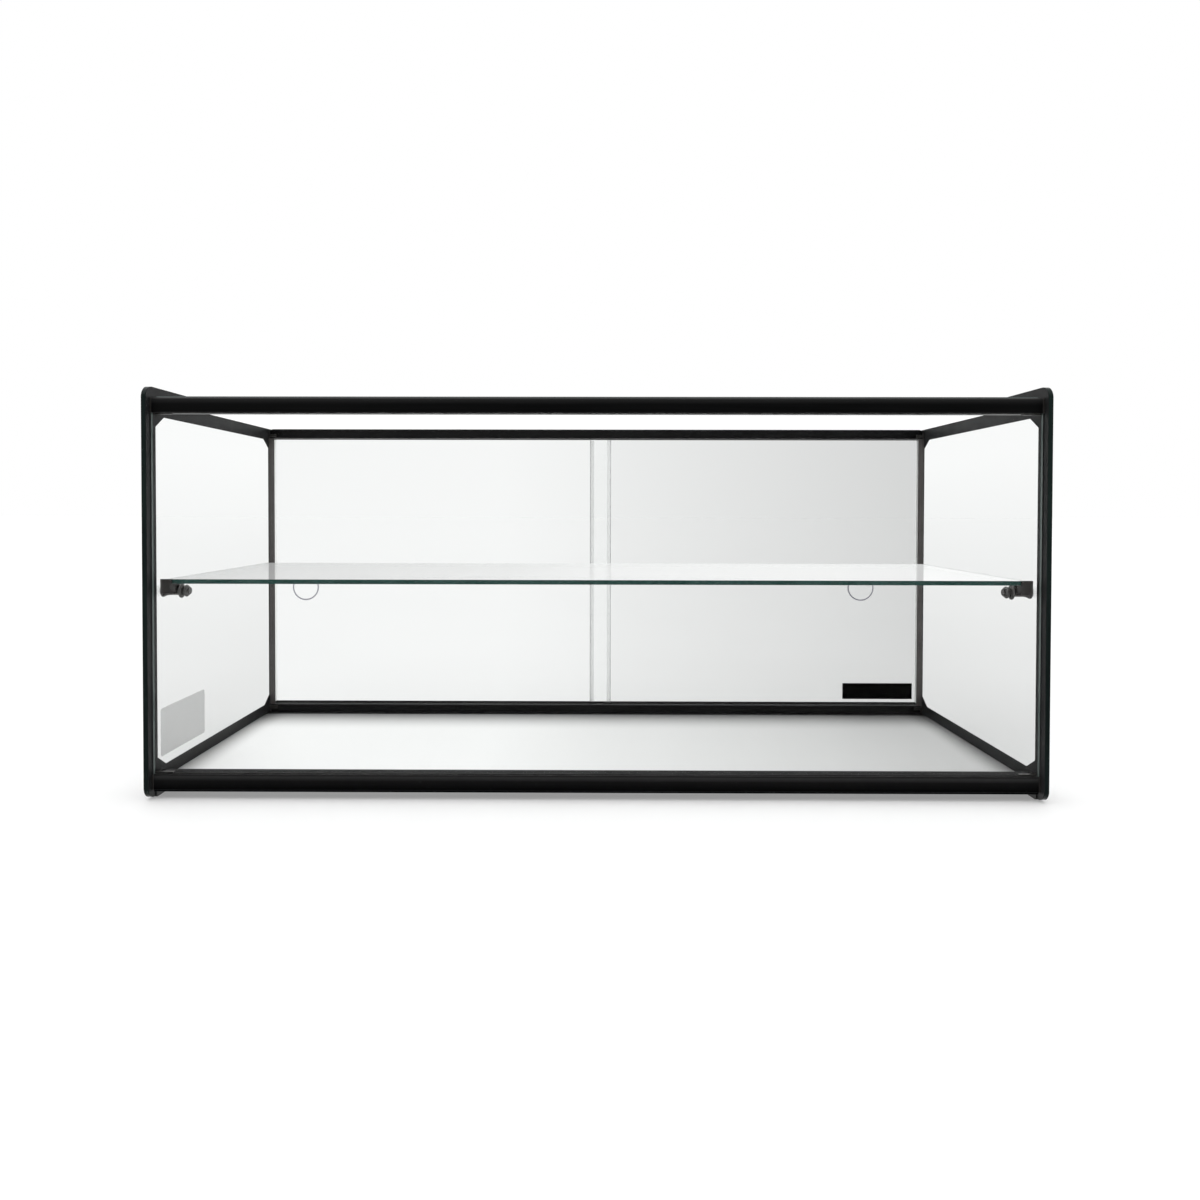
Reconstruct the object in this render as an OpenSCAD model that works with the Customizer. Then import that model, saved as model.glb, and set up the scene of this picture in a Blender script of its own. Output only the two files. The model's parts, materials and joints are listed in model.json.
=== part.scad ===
// Glass countertop display case: two side panes with black borders, four extruded cross
// rails, front and top panes, a pale floor panel, two sliding doors and one glass shelf.
// X runs along the case, Y from front to back, Z up. The origin is the middle of the base.

/* [Case] */
// Width over the outer faces of the side panes
case_w = 914; // [600:1:1200]
// Depth of the side panes, front edge to rear edge
case_d = 348; // [300:1:480]
// Height from the table to the top of the side panes
case_h = 420.5; // [340:0.5:560]

/* [Side panes] */
// Thickness of the side panes
side_t = 5; // [4:0.5:8]
// Corner radius of the side panes
side_r = 12; // [8:1:20]
// Thickness of the black border on the inner face
border_t = 0.4; // [0.3:0.1:1]
// Border width along the front edge
border_front = 19; // [14:1:26]
// Border width along the rear edge
border_rear = 27; // [20:1:40]
// Border height along the top edge
border_top = 29; // [20:0.5:40]
// Border height along the bottom edge
border_bottom = 28.5; // [20:0.5:40]
// Depth of the slanted corners of the clear window
corner_y = 17; // [8:1:26]
// Height of the slanted corners of the clear window
corner_z = 11; // [6:1:20]

/* [Rails] */
// Height of every cross rail
rail_h = 15.5; // [14.5:0.5:20]
// Wall thickness of the rails
rail_wall = 1.5; // [1:0.1:1.8]
// Set-back of the front rails from the front edges of the side panes
front_setback = 6; // [3:0.5:10]
// Set-back of the rear rails from the rear edges of the side panes
rear_setback = 0.5; // [0:0.5:6]
// Depth of the front rails
front_rail_d = 21; // [19:0.5:28]
// Depth of the hollow box at the front of the rear rails
rear_box_d = 9.5; // [9:0.5:16]
// Height of the bottom rails above the table
rail_lift = 10; // [8:0.5:16]
// Drop of the top rails below the top of the side panes
rail_drop = 11; // [7:0.5:16]
// Radius of the rounded long edges
rail_edge_r = 1; // [0.4:0.1:1.2]
// Radius of the upper front edge of the front top rail
top_edge_r = 2.6; // [1:0.1:3]
// Thickness of the lip in front of the front pane
lip_t = 1.2; // [1:0.1:2]
// Thickness of the lip in front of the top pane
top_lip = 3; // [2:0.5:5]
// Width of the rest for the top pane on the rear top rail
rear_rest = 20; // [14:1:24]
// Width of the ledges under the floor panel
ledge_w = 9; // [6:0.5:14]
// Thickness of the ledges under the floor panel
ledge_t = 1.2; // [1:0.1:2]

/* [Rail connectors] */
// Thickness of the connector flange at each rail end
flange_t = 2; // [1.5:0.5:4]
// Length of the plug inside the rail
plug_len = 24; // [16:1:40]
// Length of the tab on a front rail
front_tab = 17; // [10:1:30]
// Length of the tab on a rear rail
rear_tab = 9; // [6:1:20]
// Width of the tabs
tab_w = 4; // [3:0.5:5]
// Thickness of the tabs
tab_t = 1.2; // [1:0.1:2]
// Distance of the rear tabs from the edge of the rail
tab_margin = 1.5; // [1:0.5:4]

/* [Panes] */
// Thickness of the front and top panes and the floor panel
pane_t = 4; // [3:0.5:5]
// Depth of the grooves for the front pane
groove_depth = 7; // [5:0.5:8]
// Wall of the gasket on each face of the front pane
gasket_t = 0.8; // [0.5:0.1:1.5]
// Gasket thickness between the pane edge and the groove
gasket_base = 1.5; // [1:0.1:2.5]
// Height of the gasket beyond the mouth of the groove
gasket_proud = 0.4; // [0.2:0.1:0.8]
// Thickness of the sealing tape under the top pane and the floor panel
tape_t = 0.6; // [0.4:0.1:1.5]
// Height of the top pane above the lip
pane_proud = 1; // [0.5:0.1:2]
// Gap round the panes
pane_gap = 0.5; // [0.3:0.1:1]
// Clipped corners of the top pane
pane_corner = 5; // [1:0.5:10]

/* [Doors] */
// Thickness of the sliding doors
door_t = 4; // [3:0.5:5]
// Overlap of the closed doors
door_overlap = 30; // [20:1:60]
// Distance of the meeting edges to the right of the middle of the case
door_shift = 7; // [-20:0.5:20]
// Play between a door and each wall of its groove
door_play = 0.4; // [0.3:0.1:0.8]
// Running gap under the doors
door_rest_gap = 0.3; // [0.2:0.1:0.5]
// Free height above the doors, for lifting them out
door_lift = 4.5; // [4.2:0.1:6]
// Depth of the grooves in the lower track
lower_groove = 4; // [3:0.5:4]
// Depth of the grooves in the upper track
upper_groove = 8.5; // [7.5:0.5:9]
// Base thickness of both tracks
track_base = 1.5; // [1:0.1:2]
// Thickness of the outer ribs of the tracks
track_rib = 1.2; // [1:0.1:2]
// Thickness of the rib between the doors
track_mid = 2.7; // [2.5:0.1:5]
// Wall thickness of the door jambs
jamb_wall = 1.5; // [1:0.1:2.5]
// Width of the jambs as seen from the front
jamb_w = 7.8; // [6:0.1:14]
// Width of the edge strips
strip_w = 6; // [4:0.5:10]
// Wall thickness of the edge strips
strip_wall = 0.7; // [0.5:0.1:1]
// Gap between the edge strips and the tracks
strip_gap = 1; // [0.5:0.1:3]
// Diameter of the ground finger dishes
dish_d = 35; // [20:1:50]
// Depth of the finger dishes
dish_depth = 1.8; // [1:0.1:2]
// Height of the finger dishes above the table
dish_z = 187; // [120:1:300]
// Distance of the left dish from the outer edge of its door
left_dish_in = 44; // [30:1:200]
// Distance of the right dish from the outer edge of its door
right_dish_in = 77; // [30:1:200]

/* [Shelf] */
// Thickness of the shelf
shelf_t = 4; // [3:0.5:6]
// Height of the top of the shelf above the table
shelf_top = 222.5; // [120:0.5:320]
// Gap between the shelf and the rear rails
shelf_rear_gap = 20; // [8:1:60]
// Distance of the shelf from the front edge of the side panes
shelf_inset = 27; // [24:1:40]
// Gap between the shelf ends and the side panes
shelf_gap = 4; // [2:0.5:8]

/* [Shelf clips] */
// Distance of the peg axis from the edge of the shelf
clip_inset = 6; // [5:0.5:10]
// Diameter of the flared foot of the peg
clip_foot_d = 13.2; // [11:0.1:14]
// Thickness of the rim of the foot
clip_foot_t = 1.2; // [0.8:0.1:2]
// Length of the flare behind the rim
clip_flare = 6.8; // [4:0.1:10]
// Diameter of the peg
clip_d = 9.2; // [8:0.1:10]
// Length of the peg from the pane to the cushion rings
clip_len = 17; // [15:0.5:30]
// Thickness of the peg left beyond the screw bore
clip_end_wall = 1.5; // [1:0.1:3]
// Diameter of the pin that carries the rings
pin_d = 6; // [4.5:0.1:7]
// Thickness of the head at the end of the pin
pin_head_t = 1.2; // [0.8:0.1:2]
// Diameter of the cushion ring under the shelf
ring_d = 15.2; // [14.8:0.1:18]
// Diameter of the end ring
end_ring_d = 12.6; // [10.5:0.1:14]
// Width of each ring
ring_w = 5.2; // [4:0.1:8]
// Width of the blunt rim of the rings
ring_rim = 0.8; // [0.5:0.1:1.5]
// Width of the stop in front of the shelf edge
stop_w = 11.5; // [8:0.5:16]
// Thickness of the stop
stop_t = 2.2; // [1.5:0.1:3]
// Depth of the stop below the peg axis
stop_drop = 2; // [0:0.5:4]
// Thickness of the nib over the shelf
nib_t = 0.9; // [0.6:0.1:1.5]
// Reach of the nib over the shelf
nib_reach = 1.2; // [0.5:0.1:2]
// Gap between the stop and the shelf
stop_gap = 0.2; // [0.1:0.1:0.5]

/* [Screws] */
// Diameter of the screws
screw_d = 4; // [3:0.5:5]
// Length of the rail screws under the head
rail_screw_len = 26; // [18:1:32]
// Length of the clip screws under the head
clip_screw_len = 18; // [14:1:22]
// Diameter of the screw heads
head_d = 9; // [7:0.5:10]
// Height of the screw heads
head_h = 2.6; // [2:0.1:4]
// Width across corners of the hexagon socket
socket_d = 2.9; // [2:0.1:4]
// Depth of the hexagon socket
socket_depth = 1.5; // [1:0.1:2]
// Diameter of the screw holes in the panes
pane_hole_d = 6.6; // [6:0.1:9]
// Flange diameter of the sleeved washers
washer_d = 12.5; // [10:0.5:16]
// Flange thickness of the sleeved washers
washer_t = 0.8; // [0.5:0.1:1.5]

/* [Feet] */
// Length of the rubber feet
foot_len = 42; // [20:1:80]
// Distance of the feet from the edges of the side panes
foot_inset = 14; // [3:0.5:30]
// Height of the feet on the pane
foot_h = 8; // [5:0.5:10]
// Wall thickness of the feet beside the pane
foot_wall = 1; // [0.8:0.1:2]
// Thickness of the feet under the pane
foot_t = 1.5; // [1:0.1:3]
// Radius of the rounded ends of the feet
foot_r = 2.4; // [1:0.1:4]

/* [Fits] */
// Clearance between pieces that are pushed together
snug = 0.05; // [0.02:0.01:0.1]
// Clearance between a plug and the rail round it
plug_play = 0.15; // [0.1:0.05:0.3]

/* [Hidden] */
$fn = 64;
cut = 1;
glass = [0.80, 0.92, 0.90, 0.45];
black = [0.07, 0.07, 0.075];
soft_black = [0.14, 0.14, 0.14];
pale = [0.86, 0.87, 0.87];

front_edge = -case_d / 2;
rear_edge = case_d / 2;
pane_face_x = case_w / 2 - side_t;
inner_x = pane_face_x - border_t;
rail_x = inner_x - flange_t;
pane_x = inner_x - pane_gap;

bottom_z = rail_lift;
top_z = case_h - rail_drop - rail_h;
sill_z = bottom_z + rail_h;

groove_w = pane_t + 2 * gasket_t;
groove_end = lip_t + groove_w;
rebate_h = pane_t + tape_t - pane_proud;
lip_r = min(top_edge_r, top_lip);

door_groove = door_t + 2 * door_play;
track_w = 2 * track_rib + track_mid + 2 * door_groove;
track_slot_w = track_w + 2 * snug;
lower_track_h = lower_groove + track_base;
upper_track_h = upper_groove + track_base;
rear_rail_d = rear_box_d + track_slot_w + rail_wall;

front_y = front_edge + front_setback;
rear_y = rear_edge - rear_setback - rear_rail_d;
track_y = rear_y + rear_box_d + snug;
left_door_y = track_y + track_rib + door_play;
right_door_y = left_door_y + door_groove + track_mid;
door_outer_x = inner_x - jamb_wall - pane_gap;
door_z = sill_z - lower_groove + door_rest_gap;
door_top = top_z + upper_groove - door_lift;
dish_r = (pow(dish_d / 2, 2) + pow(dish_depth, 2)) / (2 * dish_depth);

shelf_x = pane_face_x - shelf_gap;
shelf_front_y = front_edge + shelf_inset;
shelf_rear_y = rear_y - shelf_rear_gap;
shelf_z = shelf_top - shelf_t;
clip_z = shelf_z - ring_d / 2 - snug;
seat_h = ring_d / 2 + snug;
stop_y = -clip_inset - stop_gap;
pin_end = clip_len + 2 * ring_w + snug;

sleeve_d = pane_hole_d - 4 * snug;
screw_hole_d = screw_d + 4 * snug;
flare_step = (clip_foot_d - clip_d) / 2;
flare_r = (pow(flare_step, 2) + pow(clip_flare, 2)) / (2 * flare_step);
head_r = (pow(head_d / 2, 2) + pow(head_h, 2)) / (2 * head_h);

// Hollow of each rail that takes a connector plug, as [low corner, high corner] in the
// plane of its section, measured from the rail's front bottom edge
front_hollow_y = [groove_end + rail_wall, front_rail_d - rail_wall];
rear_hollow_y = [rail_wall, rear_box_d - rail_wall];
bottom_hollow_z = [rail_wall, rail_h - rail_wall];
top_hollow_z = [rail_wall, rail_h - rebate_h - rail_wall];

RAILS = ["front_bottom", "front_top", "rear_bottom", "rear_top"];
function is_front(rail) = rail == "front_bottom" || rail == "front_top";
function is_top(rail) = rail == "front_top" || rail == "rear_top";
function rail_origin(rail) = [is_front(rail) ? front_y : rear_y, is_top(rail) ? top_z : bottom_z];
function hollow_y(rail) = is_front(rail) ? front_hollow_y : rear_hollow_y;
function hollow_z(rail) = is_top(rail) ? top_hollow_z : bottom_hollow_z;
function middle(span) = (span[0] + span[1]) / 2;
function screw_axis(rail) = rail_origin(rail) + [middle(hollow_y(rail)), middle(hollow_z(rail))];
function door_edge(side) = side * door_shift - door_overlap / 2 + strip_wall;
function clip_axis(back) = [back ? shelf_rear_y - clip_inset : shelf_front_y + clip_inset, clip_z];

// Extrudes a section drawn in the Y-Z plane along X
module along_x(x0, x1) {
    translate([x0, 0, 0])
        rotate([90, 0, 90])
            linear_extrude(x1 - x0)
                children();
}

// Revolves a section drawn as [radius, distance] about the X axis
module about_x() {
    rotate([0, 90, 0])
        rotate_extrude()
            children();
}

// Box between two corners
module box(low, high) {
    translate(low)
        cube(high - low);
}

// Mirrors a right-hand piece to the left when the side is negative
module on_side(side) {
    mirror([side < 0 ? 1 : 0, 0, 0])
        children();
}

// What rounding takes off a corner of a section, where inward points into the material
module corner_bite(corner, inward, r) {
    translate(corner)
        mirror([inward[0] < 0 ? 1 : 0, 0])
            mirror([0, inward[1] < 0 ? 1 : 0])
                difference() {
                    translate([-cut, -cut])
                        square(r + cut);
                    translate([r, r])
                        circle(r);
                }
}

// Rectangle with round corners in the Y-Z plane
module round_panel(low, high, r) {
    difference() {
        translate(low)
            square(high - low);
        corner_bite(low, [1, 1], r);
        corner_bite([high[0], low[1]], [-1, 1], r);
        corner_bite([low[0], high[1]], [1, -1], r);
        corner_bite(high, [-1, -1], r);
    }
}

// Outline of a side pane, which stands on the rubber feet
module side_outline() {
    round_panel([front_edge, foot_t], [rear_edge, case_h], side_r);
}

// Clear window of a side pane, with slanted corners
module side_window() {
    y0 = front_edge + border_front;
    y1 = rear_edge - border_rear;
    z0 = border_bottom;
    z1 = case_h - border_top;
    polygon([
        [y0 + corner_y, z0], [y1 - corner_y, z0], [y1, z0 + corner_z], [y1, z1 - corner_z],
        [y1 - corner_y, z1], [y0 + corner_y, z1], [y0, z1 - corner_z], [y0, z0 + corner_z]
    ]);
}

module rail_screw_holes() {
    for (rail = RAILS)
        translate(screw_axis(rail))
            circle(d = pane_hole_d);
}

module clip_screw_holes() {
    for (back = [false, true])
        translate(clip_axis(back))
            circle(d = pane_hole_d);
}

module side_pane(side) {
    color(glass)
        on_side(side)
            along_x(pane_face_x, case_w / 2)
                difference() {
                    side_outline();
                    rail_screw_holes();
                    clip_screw_holes();
                }
}

module side_border(side) {
    color(black)
        on_side(side)
            along_x(inner_x, pane_face_x)
                difference() {
                    side_outline();
                    side_window();
                    rail_screw_holes();
                }
}

// Outer section of the front bottom rail: groove for the front pane, ledge for the floor
module front_bottom_section() {
    difference() {
        union() {
            square([front_rail_d, rail_h]);
            square([front_rail_d + ledge_w, ledge_t]);
        }
        translate([lip_t, rail_h - groove_depth])
            square([groove_w, groove_depth + cut]);
        corner_bite([0, rail_h], [1, -1], rail_edge_r);
        corner_bite([0, 0], [1, 1], rail_edge_r);
    }
}

// Outer section of the front top rail: groove from below, rebate for the top pane
module front_top_section() {
    difference() {
        square([front_rail_d, rail_h]);
        translate([lip_t, -cut])
            square([groove_w, groove_depth + cut]);
        translate([top_lip, rail_h - rebate_h])
            square([front_rail_d, rebate_h + cut]);
        corner_bite([0, rail_h], [1, -1], lip_r);
        corner_bite([0, 0], [1, 1], rail_edge_r);
    }
}

// Outer section of the rear bottom rail: ledge for the floor, slot for the lower track
module rear_bottom_section() {
    difference() {
        union() {
            square([rear_rail_d, rail_h]);
            translate([-ledge_w, 0])
                square([ledge_w + rail_wall, ledge_t]);
        }
        translate([rear_box_d, rail_h - lower_track_h])
            square([track_slot_w, lower_track_h + cut]);
        corner_bite([0, rail_h], [1, -1], rail_edge_r);
        corner_bite([rear_rail_d, rail_h], [-1, -1], rail_edge_r);
        corner_bite([rear_rail_d, 0], [-1, 1], rail_edge_r);
    }
}

// Outer section of the rear top rail: slot for the upper track, rest for the top pane
module rear_top_section() {
    difference() {
        square([rear_rail_d, rail_h]);
        translate([rear_box_d, -cut])
            square([track_slot_w, upper_track_h + cut]);
        translate([-cut, rail_h - rebate_h])
            square([rear_rest + cut, rebate_h + cut]);
        corner_bite([0, 0], [1, 1], rail_edge_r);
        corner_bite([rear_rail_d, rail_h], [-1, -1], rail_edge_r);
        corner_bite([rear_rail_d, 0], [-1, 1], rail_edge_r);
    }
}

module rail_section(rail) {
    if (rail == "front_bottom") front_bottom_section();
    if (rail == "front_top") front_top_section();
    if (rail == "rear_bottom") rear_bottom_section();
    if (rail == "rear_top") rear_top_section();
}

// Rectangle of the hollow that takes the plug, smaller by play on every side
module plug_section(rail, play) {
    y = hollow_y(rail);
    z = hollow_z(rail);
    translate([y[0] + play, z[0] + play])
        square([y[1] - y[0] - 2 * play, z[1] - z[0] - 2 * play]);
}

// Second hollow of a bottom rail, below the pane groove or the door track
module lower_hollow(rail) {
    if (rail == "front_bottom")
        translate([rail_wall, rail_wall])
            square([groove_end - rail_wall, rail_h - groove_depth - 2 * rail_wall]);
    if (rail == "rear_bottom")
        translate([rear_box_d, rail_wall])
            square([track_slot_w, rail_h - lower_track_h - 2 * rail_wall]);
}

module cross_rail(rail) {
    color(black)
        along_x(-rail_x, rail_x)
            translate(rail_origin(rail))
                difference() {
                    rail_section(rail);
                    plug_section(rail, 0);
                    lower_hollow(rail);
                }
}

// Tab of a connector: on a front rail it lies beside the pane groove, on a rear rail on the front face
module connector_tab(rail, depth_below) {
    if (rail == "front_bottom")
        translate([groove_end, rail_h - depth_below])
            square([tab_w, tab_t + depth_below]);
    if (rail == "front_top")
        translate([groove_end, -tab_t])
            square([tab_w, tab_t + depth_below]);
    if (rail == "rear_bottom")
        translate([-tab_t, rail_h - tab_margin - tab_w])
            square([tab_t + depth_below, tab_w]);
    if (rail == "rear_top")
        translate([-tab_t, tab_margin])
            square([tab_t + depth_below, tab_w]);
}

// Moulded connector: flange against the border, plug in the rail, tab over the rail
module connector(rail, side) {
    tab_len = is_front(rail) ? front_tab : rear_tab;
    origin = rail_origin(rail);
    color(soft_black)
        on_side(side)
            difference() {
                union() {
                    along_x(rail_x, inner_x)
                        translate(origin) {
                            rail_section(rail);
                            connector_tab(rail, tab_t);
                        }
                    along_x(rail_x - plug_len, inner_x)
                        translate(origin)
                            plug_section(rail, plug_play);
                    along_x(rail_x - tab_len, inner_x)
                        translate(origin)
                            connector_tab(rail, 0);
                }
                along_x(rail_x - plug_len - cut, inner_x + cut)
                    translate(screw_axis(rail))
                        circle(d = screw_d + 2 * snug);
            }
}

// U-shaped gasket that the front pane sits in, drawn for the groove of the bottom rail
module gasket_section() {
    difference() {
        translate([lip_t + snug, snug])
            square([groove_w - 2 * snug, groove_depth + gasket_proud - snug]);
        translate([lip_t + gasket_t - snug, gasket_base])
            square([pane_t + 2 * snug, groove_depth + cut]);
    }
}

module lower_gasket() {
    color(soft_black)
        along_x(-pane_x, pane_x)
            translate([front_y, sill_z - groove_depth])
                gasket_section();
}

module upper_gasket() {
    color(soft_black)
        along_x(-pane_x, pane_x)
            translate([front_y, top_z + groove_depth])
                mirror([0, 1])
                    gasket_section();
}

module front_pane() {
    y = front_y + lip_t + gasket_t;
    z0 = sill_z - groove_depth + gasket_base + snug;
    z1 = top_z + groove_depth - gasket_base - snug;
    color(glass)
        box([-pane_x, y, z0], [pane_x, y + pane_t, z1]);
}

// Top pane with its four corners clipped
module top_pane() {
    z = top_z + rail_h - rebate_h + tape_t;
    y0 = front_y + top_lip + pane_gap;
    y1 = rear_y + rear_rest - pane_gap;
    x = pane_x - pane_corner;
    color(glass)
        translate([0, 0, z])
            linear_extrude(pane_t)
                polygon([
                    [-x, y0], [x, y0], [pane_x, y0 + pane_corner], [pane_x, y1 - pane_corner],
                    [x, y1], [-x, y1], [-pane_x, y1 - pane_corner], [-pane_x, y0 + pane_corner]
                ]);
}

module floor_pane() {
    z = bottom_z + ledge_t + tape_t;
    color(pale)
        box([-pane_x, front_y + front_rail_d + pane_gap, z],
            [pane_x, rear_y - pane_gap, z + pane_t]);
}

// Strip of sealing tape between two depths, as far as x on each side
module tape(y0, y1, z, x) {
    color(soft_black)
        box([-x, y0, z], [x, y1, z + tape_t]);
}

module top_front_tape() {
    z = top_z + rail_h - rebate_h;
    tape(front_y + top_lip + pane_gap, front_y + front_rail_d, z, pane_x - pane_corner);
}

module top_rear_tape() {
    z = top_z + rail_h - rebate_h;
    tape(rear_y, rear_y + rear_rest - pane_gap, z, pane_x - pane_corner);
}

module floor_front_tape() {
    y = front_y + front_rail_d;
    tape(y + pane_gap, y + ledge_w, bottom_z + ledge_t, pane_x);
}

module floor_rear_tape() {
    tape(rear_y - ledge_w, rear_y - pane_gap, bottom_z + ledge_t, pane_x);
}

// E-shaped section of a door track with two grooves that open upward
module track_section(groove) {
    difference() {
        square([track_w, track_base + groove]);
        for (y = [track_rib, track_rib + door_groove + track_mid])
            translate([y, track_base])
                square([door_groove, groove + cut]);
    }
}

module lower_track() {
    color(soft_black)
        along_x(-pane_x, pane_x)
            translate([track_y, sill_z - lower_track_h])
                track_section(lower_groove);
}

module upper_track() {
    color(soft_black)
        along_x(-pane_x, pane_x)
            translate([track_y, top_z + upper_track_h])
                mirror([0, 1])
                    track_section(upper_groove);
}

// Upright jamb between the rear rails: a wall beside the doors and a flange in front of them
module jamb(side) {
    color(black)
        on_side(side)
            translate([0, 0, sill_z + snug])
                linear_extrude(top_z - sill_z - 2 * snug) {
                    translate([inner_x - jamb_wall, rear_y])
                        square([jamb_wall, rear_rail_d]);
                    translate([inner_x - jamb_w, rear_y])
                        square([jamb_w, jamb_wall]);
                }
}

// Sliding door with a ground finger dish in its rear face
module door(side, y, dish_in) {
    color(glass)
        on_side(side)
            difference() {
                box([door_edge(side), y, door_z], [door_outer_x, y + door_t, door_top]);
                translate([door_outer_x - dish_in, y + door_t - dish_depth + dish_r, dish_z])
                    sphere(dish_r, $fn = 180);
            }
}

// U-shaped strip on the meeting edge of a door
module door_strip(side, y) {
    wall = strip_wall + snug;
    x = door_edge(side);
    color(pale)
        on_side(side)
            difference() {
                box([x - wall, y - wall, sill_z + strip_gap],
                    [x - wall + strip_w, y + door_t + wall, top_z - strip_gap]);
                box([x - snug, y - snug, sill_z],
                    [door_outer_x, y + door_t + snug, top_z]);
            }
}

module shelf() {
    color(glass)
        box([-shelf_x, shelf_front_y, shelf_z], [shelf_x, shelf_rear_y, shelf_top]);
}

// Places a clip that is drawn with its peg along X from the inner face of the left pane
module at_clip(side, back) {
    axis = clip_axis(back);
    mirror([side > 0 ? 1 : 0, 0, 0])
        translate([-pane_face_x, axis[0], axis[1]])
            mirror([0, back ? 1 : 0, 0])
                children();
}

// Half section of the peg: rim, hollow flare, barrel, ring pin and pin head
module peg_section() {
    difference() {
        square([clip_foot_d / 2, clip_foot_t + clip_flare]);
        translate([clip_d / 2 + flare_r, clip_foot_t + clip_flare])
            circle(flare_r, $fn = 128);
    }
    square([clip_d / 2, clip_len]);
    square([pin_d / 2, pin_end + pin_head_t]);
    translate([0, pin_end])
        square([pin_d / 2 + pin_head_t / 2, pin_head_t]);
}

// Shelf clip: turned peg with a seat under the shelf and a stop with a nib in front of it
module shelf_clip(side, back) {
    stop_top = seat_h + shelf_t + snug + nib_t;
    color(soft_black)
        at_clip(side, back)
            difference() {
                union() {
                    about_x()
                        peg_section();
                    box([clip_foot_t, stop_y - stop_t, 0], [clip_len, clip_d / 2 - snug, seat_h - snug]);
                    box([clip_foot_t, stop_y - stop_t, -stop_drop],
                        [clip_foot_t + stop_w, stop_y, stop_top]);
                    box([clip_foot_t, stop_y - stop_t, stop_top - nib_t + snug],
                        [clip_foot_t + stop_w, stop_y + stop_gap + nib_reach, stop_top]);
                }
                translate([-cut, 0, 0])
                    rotate([0, 90, 0])
                        cylinder(d = screw_d + 2 * snug, h = clip_len + cut - clip_end_wall);
            }
}

// Half section of a cushion ring: two cones that meet in a blunt rim
module ring_section(d) {
    bore = pin_d / 2 + snug;
    polygon([
        [bore, 0], [clip_d / 2, 0], [d / 2, (ring_w - ring_rim) / 2], [d / 2, (ring_w + ring_rim) / 2],
        [clip_d / 2, ring_w], [bore, ring_w]
    ]);
}

// One ring on every clip, at a distance along the peg
module clip_rings(d, along) {
    color(soft_black)
        for (side = [-1, 1])
            for (back = [false, true])
                at_clip(side, back)
                    translate([along, 0, 0])
                        about_x()
                            ring_section(d);
}

// Screw along X with its domed head outside the pane, the washer flange between them
module screw(len) {
    seat = -side_t - washer_t;
    difference() {
        union() {
            translate([seat - head_h, 0, 0])
                intersection() {
                    translate([head_r, 0, 0])
                        sphere(head_r);
                    rotate([0, 90, 0])
                        cylinder(d = head_d + cut, h = head_h);
                }
            translate([seat - cut / 2, 0, 0])
                rotate([0, 90, 0])
                    cylinder(d = screw_d, h = len + cut / 2);
        }
        translate([seat - head_h - cut, 0, 0])
            rotate([0, 90, 0])
                cylinder(d = socket_d, h = socket_depth + cut, $fn = 6);
    }
}

// Sleeved washer: flange outside the pane, sleeve inside the hole
module sleeved_washer() {
    about_x()
        difference() {
            union() {
                translate([0, -side_t - washer_t])
                    square([washer_d / 2, washer_t]);
                translate([0, -side_t - washer_t / 2])
                    square([sleeve_d / 2, side_t + washer_t / 2 - snug]);
            }
            translate([0, -side_t - washer_t - cut])
                square([screw_hole_d / 2, side_t + washer_t + 2 * cut]);
        }
}

// Places what is drawn on the left pane at every rail end
module at_rail_ends() {
    for (side = [-1, 1])
        for (rail = RAILS)
            mirror([side > 0 ? 1 : 0, 0, 0])
                translate([-pane_face_x, screw_axis(rail)[0], screw_axis(rail)[1]])
                    children();
}

module rail_screws() {
    color(soft_black)
        at_rail_ends()
            screw(rail_screw_len);
}

module rail_washers() {
    color(black)
        at_rail_ends()
            sleeved_washer();
}

module clip_screws() {
    color(soft_black)
        for (side = [-1, 1])
            for (back = [false, true])
                at_clip(side, back)
                    screw(clip_screw_len);
}

module clip_washers() {
    color(black)
        for (side = [-1, 1])
            for (back = [false, true])
                at_clip(side, back)
                    sleeved_washer();
}

// Rubber foot: a shoe round the lower edge of a side pane and its border
module foot(side, back) {
    color(soft_black)
        on_side(side)
            mirror([0, back ? 1 : 0, 0])
                difference() {
                    along_x(inner_x - foot_wall, case_w / 2 + foot_wall)
                        round_panel([front_edge + foot_inset, 0],
                                    [front_edge + foot_inset + foot_len, foot_h], foot_r);
                    along_x(inner_x - snug, case_w / 2 + snug)
                        round_panel([front_edge - snug, foot_t - snug],
                                    [rear_edge + snug, case_h], side_r + snug);
                }
}

side_pane(-1);  // left_side_pane
side_pane(1);  // right_side_pane
side_border(-1);  // left_border
side_border(1);  // right_border
cross_rail("front_top");  // front_top_rail
cross_rail("front_bottom");  // front_bottom_rail
cross_rail("rear_top");  // rear_top_rail
cross_rail("rear_bottom");  // rear_bottom_rail
connector("front_top", -1);  // front_top_left_connector
connector("front_top", 1);  // front_top_right_connector
connector("front_bottom", -1);  // front_bottom_left_connector
connector("front_bottom", 1);  // front_bottom_right_connector
connector("rear_top", -1);  // rear_top_left_connector
connector("rear_top", 1);  // rear_top_right_connector
connector("rear_bottom", -1);  // rear_bottom_left_connector
connector("rear_bottom", 1);  // rear_bottom_right_connector
front_pane();
top_pane();
floor_pane();
upper_gasket();  // front_pane_upper_gasket
lower_gasket();  // front_pane_lower_gasket
top_front_tape();  // top_pane_front_tape
top_rear_tape();  // top_pane_rear_tape
floor_front_tape();
floor_rear_tape();
upper_track();  // upper_door_track
lower_track();  // lower_door_track
jamb(-1);  // left_jamb
jamb(1);  // right_jamb
door(-1, left_door_y, left_dish_in);  // left_door_pane
door(1, right_door_y, right_dish_in);  // right_door_pane
door_strip(-1, left_door_y);  // left_door_strip
door_strip(1, right_door_y);  // right_door_strip
shelf();
shelf_clip(-1, false);  // left_front_clip
shelf_clip(-1, true);  // left_rear_clip
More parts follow.
